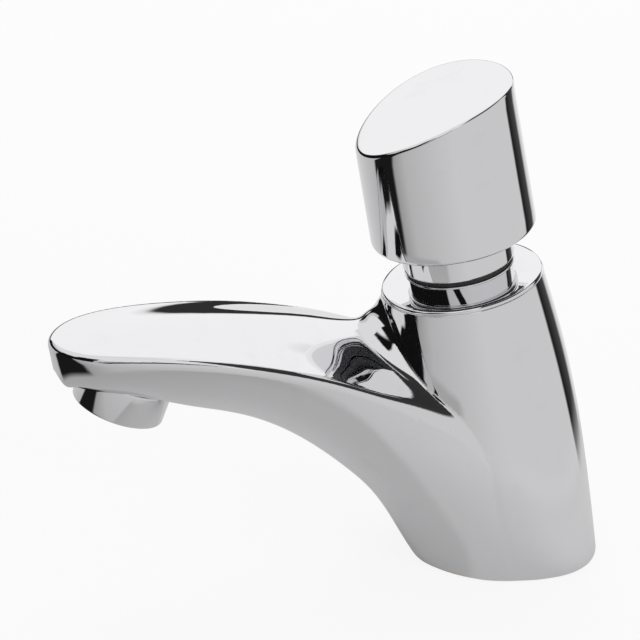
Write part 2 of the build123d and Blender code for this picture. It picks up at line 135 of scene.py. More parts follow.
class Sock:
    """One output socket, so that shader maths reads as plain expressions."""

    def __init__(self, made, socket):
        self.made = made
        self.socket = socket

    def math(self, operation, *values):
        return self.made.node("ShaderNodeMath", {"operation": operation}, *values)

    def __add__(self, other):
        return self.math("ADD", self, other)

    __radd__ = __add__

    def __sub__(self, other):
        return self.math("SUBTRACT", self, other)

    def __rsub__(self, other):
        return self.math("SUBTRACT", other, self)

    def __mul__(self, other):
        return self.math("MULTIPLY", self, other)

    __rmul__ = __mul__

    def root(self):
        return self.math("SQRT", self)

    def band(self, low, high):
        """Go smoothly from 0 at low to 1 at high."""
        settings = {"interpolation_type": "SMOOTHSTEP"}
        return self.made.node("ShaderNodeMapRange", settings, self, low, high, 0.0, 1.0)


# What the chrome mirrors round the tap: white sheets, with a dark gap in front and one behind.
# Their places follow the reflections in the photograph, and their light is set to look like it.
# Each row holds degrees from the front towards the camera's side, and the light there from 0 to 1.
SHEET = 0.65
BRIGHT_SHEET = 1.0
DIM_SHEET = 0.5
GAP = 0.01
STUDIO_ROUND = (
    (-180, SHEET), (-163, SHEET), (-160, GAP), (-139, 0.07), (-133, SHEET), (-110, BRIGHT_SHEET),
    (-90, 0.8), (-17, DIM_SHEET), (-14, GAP), (15, GAP), (18, 0.35), (34, DIM_SHEET),
    (100, SHEET), (180, SHEET),
)


class Finish:
    """A material or world under construction."""

    def __init__(self, owner):
        owner.use_nodes = True
        self.owner = owner
        self.tree = owner.node_tree
        self.tree.nodes.clear()

    def node(self, kind, settings=None, *values, out=0, **named):
        """Make a node: its settings first, then the values or links of its sockets."""
        made = self.tree.nodes.new(kind)
        for key, value in (settings or {}).items():
            if key == "stops":
                self.set_stops(made, value)
            else:
                setattr(made, key, value)
        live = [socket for socket in made.inputs if socket.enabled]
        for socket, value in zip(live, values):
            self.feed(socket, value)
        for key, value in named.items():
            self.feed(made.inputs[key.replace("_", " ")], value)
        outputs = [socket for socket in made.outputs if socket.enabled]
        return Sock(self, outputs[out]) if outputs else made

    def feed(self, socket, value):
        if value is None:
            return
        if isinstance(value, Sock):
            self.tree.links.new(value.socket, socket)
        elif isinstance(value, (tuple, list)) and len(value) == 3 and socket.type == "RGBA":
            socket.default_value = (*value, 1)
        else:
            socket.default_value = value

    def set_stops(self, made, stops):
        ramp = made.color_ramp
        ramp.elements.remove(ramp.elements[1])
        ramp.elements[0].position = stops[0][0]
        ramp.elements[0].color = (stops[0][1],) * 3 + (1,)
        for place, level in stops[1:]:
            ramp.elements.new(place).color = (level, level, level, 1)

    def mix(self, share, first, second):
        """Blend two colours."""
        settings = {"data_type": "RGBA", "clamp_factor": True}
        return self.node("ShaderNodeMix", settings, share, first, second)

    def place(self, scale=(1, 1, 1)):
        """Object coordinates, scaled."""
        point = self.node("ShaderNodeTexCoord", None, out=3)
        return self.node("ShaderNodeMapping", {"vector_type": "POINT"}, Vector=point, Scale=scale)

    def noise(self, point, scale, detail=2.0, roughness=0.5):
        return self.node("ShaderNodeTexNoise", None, Vector=point, Scale=scale, Detail=detail,
                         Roughness=roughness)

    def bump(self, height, strength, distance):
        return self.node("ShaderNodeBump", None, Strength=strength, Distance=distance, Height=height)

    def blend(self, share, first, second):
        """Blend two plain values."""
        settings = {"data_type": "FLOAT", "clamp_factor": True}
        return self.node("ShaderNodeMix", settings, share, first, second)

    def parts(self, vector):
        """The three parts of a vector."""
        made = self.node("ShaderNodeSeparateXYZ", None, vector).socket.node
        return [Sock(self, socket) for socket in made.outputs]

    def rays(self):
        """One where the camera looks straight at something, and one where metal or glass shows it."""
        made = self.node("ShaderNodeLightPath").socket.node
        glossy = Sock(self, made.outputs["Is Glossy Ray"])
        through = Sock(self, made.outputs["Is Transmission Ray"])
        return Sock(self, made.outputs["Is Camera Ray"]), glossy + through

    def window(self, value, low, high, soft):
        """One between two bounds, falling smoothly to zero outside them."""
        half = soft / 2
        return value.band(low - half, low + half) * (1 - value.band(high - half, high + half))

    def azimuth(self, x, y):
        """Degrees round the tap, from the front towards the camera's side."""
        return self.node("ShaderNodeMath", {"operation": "ARCTAN2"}, x, 0 - y) * (180 / pi)

    def surround(self, azimuth):
        """Light of the studio round the tap: white sheets, a dark gap in front and one behind."""
        stops = [((degrees + 180) / 360, light) for degrees, light in STUDIO_ROUND]
        return self.node("ShaderNodeValToRGB", {"stops": stops}, azimuth * (1 / 360) + 0.5)

    def surface(self, **named):
        shader = self.node("ShaderNodeBsdfPrincipled", None, **named)
        self.node("ShaderNodeOutputMaterial", None, shader)


def material(name):
    found = bpy.data.materials.get(name)
    return found or bpy.data.materials.new(name)


def chrome():
    """Polished chrome plating: faint drift of the polish, fine wipe marks and a slight orange peel."""
    made = Finish(material("polished_chrome"))
    point = made.place()
    drift = made.noise(point, 45.0, 2.0)
    wipe = made.noise(made.place(scale=(1, 1, 0.12)), 900.0, 3.0, 0.6)
    smudge = made.noise(point, 110.0, 4.0, 0.65).band(0.52, 0.78)
    polish = finishes().polish
    rough = polish + drift * (polish * 0.5) + wipe * (polish * 0.3) + smudge * (polish * 0.6)
    base = finishes().chrome
    dull = tuple(part * 0.965 for part in base)
    colour = made.mix(smudge, tuple(base), dull)
    peel = made.noise(point, 260.0, 1.0)
    normal = made.bump(peel, 0.02, 0.0004)
    made.surface(Base_Color=colour, Metallic=1.0, Roughness=rough, Normal=normal)
    return made.owner


def brass():
    """Bare machined brass: turning rings across the axis, slight tarnish in patches."""
    made = Finish(material("machined_brass"))
    point = made.place()
    rings = made.node("ShaderNodeTexWave", {"wave_type": "BANDS", "bands_direction": "Z"},
                      Vector=point, Scale=900.0, Distortion=1.5, Detail=2.0)
    rings = Sock(made, rings.socket.node.outputs[1])
    tarnish = made.noise(point, 160.0, 4.0, 0.6).band(0.45, 0.75)
    base = tuple(finishes().brass)
    dark = tuple(part * 0.55 for part in base)
    colour = made.mix(tarnish, base, dark)
    rough = 0.24 + tarnish * 0.2 + rings * 0.08
    normal = made.bump(rings, 0.15, 0.0001)
    made.surface(Base_Color=colour, Metallic=1.0, Roughness=rough, Normal=normal)
    return made.owner


def steel():
    """Drawn stainless steel: fine lengthwise marks."""
    made = Finish(material("drawn_steel"))
    marks = made.noise(made.place(scale=(1, 1, 0.05)), 1400.0, 3.0, 0.6)
    patch = made.noise(made.place(), 180.0, 3.0)
    colour = made.mix(patch, (0.52, 0.52, 0.53), (0.66, 0.66, 0.67))
    rough = 0.2 + marks * 0.18
    normal = made.bump(marks, 0.08, 0.0001)
    made.surface(Base_Color=colour, Metallic=1.0, Roughness=rough, Normal=normal)
    return made.owner


def rubber():
    """Moulded black rubber: a fine matt grain with a little bloom."""
    made = Finish(material("seal_rubber"))
    point = made.place()
    grain = made.noise(point, 2600.0, 2.0, 0.6)
    bloom = made.noise(point, 190.0, 4.0, 0.6).band(0.5, 0.8)
    base = tuple(finishes().rubber)
    pale = tuple(part + 0.03 for part in base)
    colour = made.mix(bloom, base, pale)
    rough = 0.48 + grain * 0.16 + bloom * 0.12
    normal = made.bump(grain, 0.2, 0.0001)
    made.surface(Base_Color=colour, Roughness=rough, Normal=normal)
    return made.owner


def plastic(name, base):
    """Moulded plastic: a faint satin grain and slow drift of colour."""
    made = Finish(material(name))
    point = made.place()
    grain = made.noise(point, 1800.0, 2.0, 0.5)
    drift = made.noise(point, 120.0, 3.0)
    dark = tuple(part * 0.82 for part in base)
    colour = made.mix(drift, base, dark)
    rough = 0.34 + grain * 0.16
    normal = made.bump(grain, 0.12, 0.0001)
    made.surface(Base_Color=colour, Roughness=rough, Normal=normal)
    return made.owner


# Mesh helpers


def finished(name, mesh, body, finish, replaced=(), sharp=35.0):
    """Turn a bmesh into a piece that rides on its body and stands for its CAD nodes."""
    data = bpy.data.meshes.new(name)
    mesh.to_mesh(data)
    mesh.free()
    piece = bpy.data.objects.new(name, data)
    bpy.context.scene.collection.objects.link(piece)
    data.materials.append(finish)
    data.shade_smooth()
    data.set_sharp_from_angle(angle=radians(sharp))
    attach(piece, body)
    if replaced:
        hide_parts(*replaced)
    return piece


def spun(outline, place):
    """Spin a closed outline of (radius, height) points in millimetres about the axis of a frame."""
    mesh = bmesh.new()
    spots = [mesh.verts.new((radius * MM, 0, height * MM)) for radius, height in outline]
    pairs = zip(spots, spots[1:] + spots[:1])
    edges = [mesh.edges.new(pair) for pair in pairs]
    bmesh.ops.spin(mesh, geom=spots + edges, cent=(0, 0, 0), axis=(0, 0, 1), dvec=(0, 0, 0),
                   angle=2 * pi, steps=sizes().round_steps, use_merge=True)
    bmesh.ops.remove_doubles(mesh, verts=mesh.verts, dist=1e-6)
    bmesh.ops.recalc_face_normals(mesh, faces=mesh.faces)
    bmesh.ops.transform(mesh, matrix=place, verts=mesh.verts)
    return mesh


def grow(mesh, edges):
    """Extrude a closed loop of edges; return its new points and the new loop."""
    grown = bmesh.ops.extrude_edge_only(mesh, edges=edges)["geom"]
    fresh = {item for item in grown if isinstance(item, bmesh.types.BMVert)}
    loop = [item for item in grown if isinstance(item, bmesh.types.BMEdge)
            and item.verts[0] in fresh and item.verts[1] in fresh]
    return fresh, loop


def eased(outline, radius, count, corners):
    """Round the numbered corners of an outline of (radius, height) points."""
    result = []
    for number, spot in enumerate(outline):
        here = Vector((*spot, 0))
        before = Vector((*outline[number - 1], 0)) - here
        after = Vector((*outline[(number + 1) % len(outline)], 0)) - here
        reach = min(radius, before.length * 0.45, after.length * 0.45)
        if reach < 0.02 or number not in corners:
            result.append(spot)
            continue
        first = here + before.normalized() * reach
        last = here + after.normalized() * reach
        for step in range(count + 1):
            share = step / count
            blend = first * (1 - share) ** 2 + here * 2 * share * (1 - share) + last * share ** 2
            result.append((blend.x, blend.y))
    return result


# Cast body: its outer form as a field that is zero on the skin


class Table:
    """Values at places along a line, joined by a natural cubic curve."""

    def __init__(self, places, values):
        self.x = np.array(places, float)
        self.y = np.array(values, float)
        steps = np.diff(self.x)
        size = len(self.x)
        rows = np.eye(size)
        right = np.zeros(size)
        for i in range(1, size - 1):
            rows[i, i - 1:i + 2] = steps[i - 1], 2 * (steps[i - 1] + steps[i]), steps[i]
            slopes = (self.y[i + 1] - self.y[i]) / steps[i] - (self.y[i] - self.y[i - 1]) / steps[i - 1]
            right[i] = 6 * slopes
        self.bend = np.linalg.solve(rows, right)
        self.steps = steps

    def __call__(self, at):
        inside = np.clip(at, self.x[0], self.x[-1])
        i = np.clip(np.searchsorted(self.x, inside) - 1, 0, len(self.steps) - 1)
        h = self.steps[i]
        a = (self.x[i + 1] - inside) / h
        b = 1 - a
        curve = (a ** 3 - a) * self.bend[i] + (b ** 3 - b) * self.bend[i + 1]
        return a * self.y[i] + b * self.y[i + 1] + curve * h * h / 6


COLUMN_SHARES = (0.0, 0.25, 0.5, 0.75, 1.0)
COLUMN_HEIGHT = 74.0
COLUMN_BASE = 26.6
COLUMN_TOP = 20.7
COLUMN_BACK = 22.8
column_turn = Table(COLUMN_SHARES, (0.0, 0.7, 1.0, 1.0, 1.0))
column_flare = Table(COLUMN_SHARES, (1.0, 0.91, 0.74, 0.44, 0.0))
column_back = Table(COLUMN_SHARES, (1.0, 0.68, 0.35, 0.12, 0.0))
column_front = Table(COLUMN_SHARES, (0.76, 0.82, 0.93, 1.0, 1.0))
column_power = Table(COLUMN_SHARES, (2.7, 2.5, 2.25, 2.0, 2.0))

SPOUT_REACH = 105.4
SPOUT_HIGH = 81.0
SPOUT_HALF = 24.7
SPOUT_SHARES = (-0.045, 0.0, 0.05, 0.114, 0.19, 0.237, 0.285, 0.351, 0.446,
                0.569, 0.702, 0.835, 0.92, 0.963, 0.987, 0.9975)
SPOUT_WIDTHS = (0.978, 1.013, 1.008, 0.996, 0.976, 0.963, 0.951, 0.927, 0.887,
                0.83, 0.753, 0.654, 0.52, 0.38, 0.235, 0.11)
SPOUT_EDGES = (0.37, 0.40, 0.50, 0.585, 0.66, 0.702, 0.74, 0.787, 0.841,
               0.897, 0.942, 0.974, 0.989, 0.995, 0.998, 1.0)
SPOUT_KEELS = (-0.72, -0.70, -0.62, -0.32, -0.067, 0.04, 0.218, 0.374, 0.521,
               0.646, 0.722, 0.798, 0.826, 0.835, 0.85, 0.885)
SPOUT_FLARES = (0.048, 0.048, 0.042, 0.032, 0.02, 0.01, 0.005, 0.0, 0.0,
                0.0, 0.0, 0.0, 0.0, 0.0, 0.0, 0.0)
SPOUT_POWERS = (4.0, 4.0, 3.6, 3.0, 2.8, 2.6, 2.5, 2.5, 2.5,
                2.6, 2.8, 3.1, 3.0, 2.7, 2.4, 2.1)
reaches = [SPOUT_REACH * share for share in SPOUT_SHARES]
tip = SPOUT_REACH * 1.0005
spout_square = Table(reaches + [tip], [(SPOUT_HALF * width) ** 2 for width in SPOUT_WIDTHS] + [0.0])
spout_edge = Table(reaches, [SPOUT_HIGH * share for share in SPOUT_EDGES])
spout_keel = Table(reaches, [SPOUT_HIGH * share for share in SPOUT_KEELS])
spout_flare = Table(reaches, SPOUT_FLARES)
spout_power = Table(reaches, SPOUT_POWERS)

# The crown along the middle of the spout's top: by the distance forward, its rise over the edges
CROWN_REACHES = (-5, 5, 10, 15, 18, 20.7, 23.2, 25.4, 27.6, 31, 35, 40, 46, 55, 70, 85, 97, 105.4)
CROWN_RISES = (38, 36, 32, 28.5, 24.5, 20, 15.3, 12.5, 9.9, 7.9, 6.8, 6, 5.2, 4, 2.4, 1.2, 0.4, 0)
# Towards the sides the crown falls off sooner. It stays just under the column's rim up to the free
# reach, and beyond it that limit climbs by the slope.
CROWN_SPREAD = 0.04
CROWN_LIMIT = COLUMN_HEIGHT - 0.5
CROWN_FREE_REACH = 24
CROWN_FREE_SLOPE = 1.5
CROWN_SOFTNESS = 1.5
spout_crown = Table(CROWN_REACHES, CROWN_RISES)
crown_power = Table((-5, 14, 20, 26, 34, 50, 105.4), (0.7, 0.72, 0.85, 1.2, 1.55, 1.6, 1.6))


def soft_min(first, second, width):
    """The smaller of two fields, blended where they are within a width of each other."""
    width = np.maximum(width, 1e-4)
    near = np.maximum(width - np.abs(first - second), 0) / width
    return np.minimum(first, second) - near * near * width / 4


def spout_top(x, reach):
    """Height of the spout's top at a point: its edge, and the crown that sweeps up to the column."""
    square = np.maximum(spout_square(reach), 1e-3)
    share = np.clip(1 - x * x / square, 0, 1) ** crown_power(reach)
    ahead = reach + CROWN_SPREAD * np.minimum(x * x, square)
    height = spout_edge(reach) + spout_crown(ahead) * share
    limit = CROWN_LIMIT + np.maximum(reach - CROWN_FREE_REACH, 0) * CROWN_FREE_SLOPE
    return soft_min(height, limit, CROWN_SOFTNESS)


def column_field(x, y, z):
    """Distance in millimetres outside the leaning column."""
    height = -y * sin(LEAN) + z * cos(LEAN)
    for _ in range(5):
        turn = LEAN * column_turn(height / COLUMN_HEIGHT)
        ahead = (y + height * sin(LEAN)) * -np.sin(turn) + (z - height * cos(LEAN)) * np.cos(turn)
        height = height + ahead / np.cos(LEAN - turn)
    share = height / COLUMN_HEIGHT
    depth = (y + height * sin(LEAN)) * np.cos(turn) + (z - height * cos(LEAN)) * np.sin(turn)
    half = COLUMN_TOP + (COLUMN_BASE - COLUMN_TOP) * column_flare(share)
    back = half - (COLUMN_BASE - COLUMN_BACK) * column_back(share)
    front = half * column_front(share)
    power = column_power(share)
    behind = ((np.abs(x) / half) ** power + (np.abs(depth) / back) ** power) ** (1 / power)
    before = np.sqrt((x / half) ** 2 + (depth / front) ** 2)
    reach = np.maximum(np.where(depth > 0, behind, before), 1e-3)
    return np.hypot(x, depth) * (1 - 1 / reach)


def spout_field(x, y, z, edge_radius):
    """Distance in millimetres outside the leaf-shaped spout."""
    reach = -y * cos(LEAN) - z * sin(LEAN)
    height = -y * sin(LEAN) + z * cos(LEAN)
    square = spout_square(reach) - np.maximum(reach - tip, 0) * 10
    slope = (spout_square(reach + 0.05) - spout_square(reach - 0.05)) / 0.1
    slope = np.where(reach > tip, -10, slope)
    top = spout_edge(reach)
    down = np.maximum(top - height, 0)
    depth = np.maximum(top - spout_keel(reach), 1)
    power = spout_power(reach)
    half = np.sqrt(np.maximum(square, 0)) + spout_flare(reach) * down
    across = (np.abs(x) ** power + (half * down / depth) ** power) ** (2 / power)
    side = across - np.where(square > 0, half * half, square)
    scale = np.sqrt(across + (slope / 2) ** 2) * 2
    side = side / np.maximum(scale, 0.5)
    rise = (spout_top(x, reach + 0.05) - spout_top(x, reach - 0.05)) / 0.1
    lean = (spout_top(x + 0.05, reach) - spout_top(x - 0.05, reach)) / 0.1
    above = (height - spout_top(x, reach)) / np.sqrt(1 + rise * rise + lean * lean)
    behind = reaches[0] - reach
    return np.maximum(-soft_min(-side, -above, edge_radius * 3), behind)


def steepness(field, points):
    """The gradient of a field at each point, by small steps."""
    step = 0.02
    parts = []
    for axis in range(3):
        ahead = points.copy()
        ahead[:, axis] += step
        before = points.copy()
        before[:, axis] -= step
        parts.append((field(*ahead.T) - field(*before.T)) / (2 * step))
    return np.array(parts).T


def body_field(points):
    """The cast body's field: column and spout, softened in the crease where they meet."""
    edge_radius = sizes().edge_radius / MM
    root_radius = sizes().root_radius / MM

    def spout(x, y, z):
        return spout_field(x, y, z, edge_radius)

    column_slope = steepness(column_field, points)
    spout_slope = steepness(spout, points)
    column_slope /= np.maximum(np.linalg.norm(column_slope, axis=1), 1e-6)[:, None]
    spout_slope /= np.maximum(np.linalg.norm(spout_slope, axis=1), 1e-6)[:, None]
    apart = 1 - (column_slope * spout_slope).sum(1)
    x, y, z = points.T
    return soft_min(column_field(x, y, z), spout(x, y, z), root_radius * np.clip(apart, 0.02, 1))


def rings_to_shell(mesh, rings):
    """Join rings of points, given in order, into one closed shell."""
    start = bmesh.ops.create_circle(mesh, cap_ends=False, radius=1, segments=len(rings[0]))
    edges = list({edge for vert in start["verts"] for edge in vert.link_edges})
    verts = start["verts"]
    for vert, point in zip(verts, rings[0]):
        vert.co = point
    first = edges
    for ring in rings[1:]:
        fresh, edges = grow(mesh, edges)
        step_edges = {vert: edge.other_vert(vert) for vert in verts for edge in vert.link_edges
                      if edge.other_vert(vert) in fresh}
        verts = [step_edges[vert] for vert in verts]
        for vert, point in zip(verts, ring):
            vert.co = point
    bmesh.ops.holes_fill(mesh, edges=first + edges, sides=0)
    bmesh.ops.recalc_face_normals(mesh, faces=mesh.faces)


def column_ring(height, count=72):
    """A ring of points on the column at a height along it, from the field's own tables."""
    share = min(max(height / COLUMN_HEIGHT, 0), 1)
    turn = LEAN * float(column_turn(share))
    half = COLUMN_TOP + (COLUMN_BASE - COLUMN_TOP) * float(column_flare(share))
    back = half - (COLUMN_BASE - COLUMN_BACK) * float(column_back(share))
    front = half * float(column_front(share))
    ring = []
    for number in range(count):
        angle = 2 * pi * number / count
        x = half * cos(angle)
        y = (back if sin(angle) > 0 else front) * sin(angle)
        spot = Vector((x, y * cos(turn), y * sin(turn)))
        ring.append((spot + AXIS * height) * MM)
    return ring


def spout_ring(reach, count=36):
    """A ring of points round the spout at a distance forward of the column's axis."""
    half = sqrt(max(float(spout_square(reach)), 0.01))
    top = float(spout_edge(reach))
    depth = top - float(spout_keel(reach))
    power = float(spout_power(reach))
    flare = float(spout_flare(reach))
    ring = []
    for number in range(count):
        angle = 2 * pi * number / count
        if sin(angle) >= 0:
            x = half * cos(angle)
            height = float(spout_top(x, reach))
        else:
            down = depth * abs(sin(angle)) ** (2 / power)
            width = (half + flare * down) * abs(cos(angle)) ** (2 / power)
            x, height = (width if cos(angle) > 0 else -width), top - down
        y = -reach * cos(LEAN) - height * sin(LEAN)
        z = -reach * sin(LEAN) + height * cos(LEAN)
        ring.append(Vector((x, y, z)) * MM)
    return ring


# The rough skin is drawn onto the field in rounds, and no move is longer than this many millimetres
DRAW_ROUNDS = 5
LONGEST_MOVE = 1.5


def body_skin():
    """Remesh the two rough shells into one skin and draw it onto the field."""
    rough = bmesh.new()
    column_heights = np.linspace(-12, COLUMN_HEIGHT + 8, 48)
    rings_to_shell(rough, [column_ring(height) for height in column_heights])
    spout_reaches = np.linspace(reaches[0], tip - 0.2, 90)
    rings_to_shell(rough, [spout_ring(reach) for reach in spout_reaches])
    data = bpy.data.meshes.new("body_skin_rough")
    rough.to_mesh(data)
    rough.free()
    shell = bpy.data.objects.new("body_skin_rough", data)
    bpy.context.scene.collection.objects.link(shell)
    remesh = shell.modifiers.new("Remesh", "REMESH")
    remesh.mode = "VOXEL"
    remesh.voxel_size = sizes().skin_grain * 1
    view = bpy.context.evaluated_depsgraph_get()
    skin = bmesh.new()
    skin.from_mesh(shell.evaluated_get(view).to_mesh())
    bpy.data.objects.remove(shell)
    points = np.array([vert.co for vert in skin.verts]) / MM

    def field(x, y, z):
        return body_field(np.array((x, y, z)).T)

    for _ in range(DRAW_ROUNDS):
        value = field(*points.T)
        slope = steepness(field, points)
        size = np.maximum((slope ** 2).sum(1), 0.05)
        move = slope * (value / size)[:, None]
        length = np.maximum(np.linalg.norm(move, axis=1), 1e-9)
        points -= move * np.minimum(1, LONGEST_MOVE / length)[:, None]
    for vert, point in zip(skin.verts, points):
        vert.co = Vector(point) * MM
    return skin


# The skin is cut at RIM_CUT within COLUMN_REACH of the axis, and closed inwards to RIM_BORE.
# Faces of the CAD shape deeper than BORE_DEPTH under the skin are its bores and passages.
RIM_CUT = COLUMN_HEIGHT - 0.22
COLUMN_REACH = 26.0
RIM_BORE = 14.6
BORE_DEPTH = 2.8


class TAP_OT_body(bpy.types.Operator):
    """Make the cast body's chromed skin and its bare bores"""
    bl_idname = "tap.body"
    bl_label = "Cast body"

    def execute(self, context):
        skin = body_skin()
        everything = skin.verts[:] + skin.edges[:] + skin.faces[:]
        bmesh.ops.bisect_plane(skin, geom=everything, plane_co=(0, 0, 0), plane_no=(0, 0, -1),
                               clear_outer=True)
        back = COLUMN_FRAME.inverted()
        near = [face for face in skin.faces
                if (back @ face.verts[0].co).xy.length < COLUMN_REACH * MM]
        column = near + list({part for face in near for part in (*face.verts, *face.edges)})
        bmesh.ops.bisect_plane(skin, geom=column, plane_co=AXIS * (RIM_CUT * MM), plane_no=AXIS,
                               clear_outer=True)
        loose = [vert for vert in skin.verts if not vert.link_faces]
        bmesh.ops.delete(skin, geom=loose, context="VERTS")
        self.add_rim(skin)
        finished("cast_body_skin", skin, "tap", chrome(), ("tap_body",), sharp=70)
        self.add_bores()
        return {"FINISHED"}

    def add_rim(self, skin):
        """Turn the cut top of the column inwards to its bore, with a small round edge."""
        back = COLUMN_FRAME.inverted()
        edges = [edge for edge in skin.edges if edge.is_boundary
                 and all((back @ vert.co).z > (COLUMN_HEIGHT - 4) * MM for vert in edge.verts)]
        for inward, drop in ((0.0, 0.2), (0.06, 0.06), (0.2, 0.0), (None, 0.0)):
            grown = bmesh.ops.extrude_edge_only(skin, edges=edges)["geom"]
            edges = [item for item in grown if isinstance(item, bmesh.types.BMEdge)
                     and item.is_boundary]
            for vert in {vert for edge in edges for vert in edge.verts}:
                local = back @ vert.co
                radius = RIM_BORE * MM if inward is None else local.xy.length - inward * MM
                side = local.xy.normalized() * radius
                vert.co = COLUMN_FRAME @ Vector((side.x, side.y, (COLUMN_HEIGHT - drop) * MM))
        bmesh.ops.recalc_face_normals(skin, faces=skin.faces)

    def add_bores(self):
        """Carry over the body's flat base, its bores and its passages from the CAD shape."""
        source = frame["nodes"]["tap_body"].data
        inner = bmesh.new()
        inner.from_mesh(source)
        bmesh.ops.remove_doubles(inner, verts=inner.verts, dist=1e-6)
        middles = np.array([face.calc_center_median() for face in inner.faces]) / MM
        value = body_field(middles)
        back = COLUMN_FRAME.inverted()
        outer = []
        for face, distance in zip(inner.faces, value):
            middle = face.calc_center_median()
            flat = abs(face.normal.z) > 0.999 and middle.z < 0.0001
            local = back @ middle
            rim = abs(local.z / MM - COLUMN_HEIGHT) < 0.05
            if (distance > -BORE_DEPTH and not flat) or rim:
                outer.append(face)
        bmesh.ops.delete(inner, geom=outer, context="FACES")
        finished("cast_body_bores", inner, "tap", brass(), ("tap_body",))


# Heights along the column's axis and radii of the turned pieces, in millimetres
FLANGE_TOP = 75.2
COLLAR_TOP = 77.9
LIP_TOP = 78.4
GROOVE_TOP = 79.7
SPIGOT_TOP = 87.4
NECK_TOP = 100.7
STEM_HOLE = 4.1
SPIGOT_RADIUS = 11.0
THREAD_RADIUS = 14.5
COLLAR_RADIUS = 13.4
LIP_RADIUS = 14.0
RING_RADIUS = 13.6


class TAP_OT_head(bpy.types.Operator):
    """Turn the cartridge head: flange, collar, lip and spigot"""
    bl_idname = "tap.head"
    bl_label = "Cartridge head"

    def execute(self, context):
        flange = sizes().flange_radius / MM
        outline = [
            (STEM_HOLE, 64.0), (12.6, 64.0), (12.6, 60.0), (THREAD_RADIUS, 60.0),
            (THREAD_RADIUS, COLUMN_HEIGHT), (flange, COLUMN_HEIGHT), (flange, 74.6),
            (flange - 0.25, 74.9), (flange - 0.9, 75.12), (flange - 1.7, FLANGE_TOP),
            (COLLAR_RADIUS, FLANGE_TOP), (COLLAR_RADIUS, COLLAR_TOP), (LIP_RADIUS, COLLAR_TOP),
            (LIP_RADIUS, LIP_TOP), (SPIGOT_RADIUS, LIP_TOP), (SPIGOT_RADIUS, SPIGOT_TOP),
            (STEM_HOLE, SPIGOT_TOP), (STEM_HOLE, 69.8), (5.9, 69.8), (5.9, 68.0), (STEM_HOLE, 68.0),
        ]
        outline = eased(outline, 0.15, 4, (5, 6, 7, 8, 12, 13))
        mesh = spun(outline, COLUMN_FRAME)
        finished("turned_head", mesh, "tap", chrome(), ("cartridge_head",))
        return {"FINISHED"}


class TAP_OT_neck(bpy.types.Operator):
    """Turn the neck sleeve and the black ring under it"""
    bl_idname = "tap.neck"
    bl_label = "Neck"

    def execute(self, context):
        neck = sizes().neck_radius / MM
        bore = SPIGOT_RADIUS + 0.05
        outline = [
            (bore, GROOVE_TOP), (neck, GROOVE_TOP), (neck, NECK_TOP), (6.05, NECK_TOP),
            (6.05, NECK_TOP - 3), (bore, NECK_TOP - 3),
        ]
        mesh = spun(eased(outline, 0.4, 4, (1, 2)), COLUMN_FRAME)
        finished("turned_neck", mesh, "tap", chrome(), ("neck_sleeve",))
        ring = [
            (bore, LIP_TOP), (RING_RADIUS, LIP_TOP), (RING_RADIUS, GROOVE_TOP), (bore, GROOVE_TOP),
        ]
        mesh = spun(eased(ring, 0.3, 3, (1, 2)), COLUMN_FRAME)
        finished("black_ring", mesh, "tap", rubber(), ("neck_ring",))
        return {"FINISHED"}


# The push cap, in millimetres: heights along the column's axis, radii and round edges
CAP_LOW = 87.6
CAP_MIDDLE = 122.96
CAP_ROOF = 112.5
CAP_TOP_RADIUS = 20.7
CAP_BORE = 18.4
CAP_SAG = 2.59
CAP_LOW_EDGE = 1.3
CAP_TOP_EDGE = 0.8


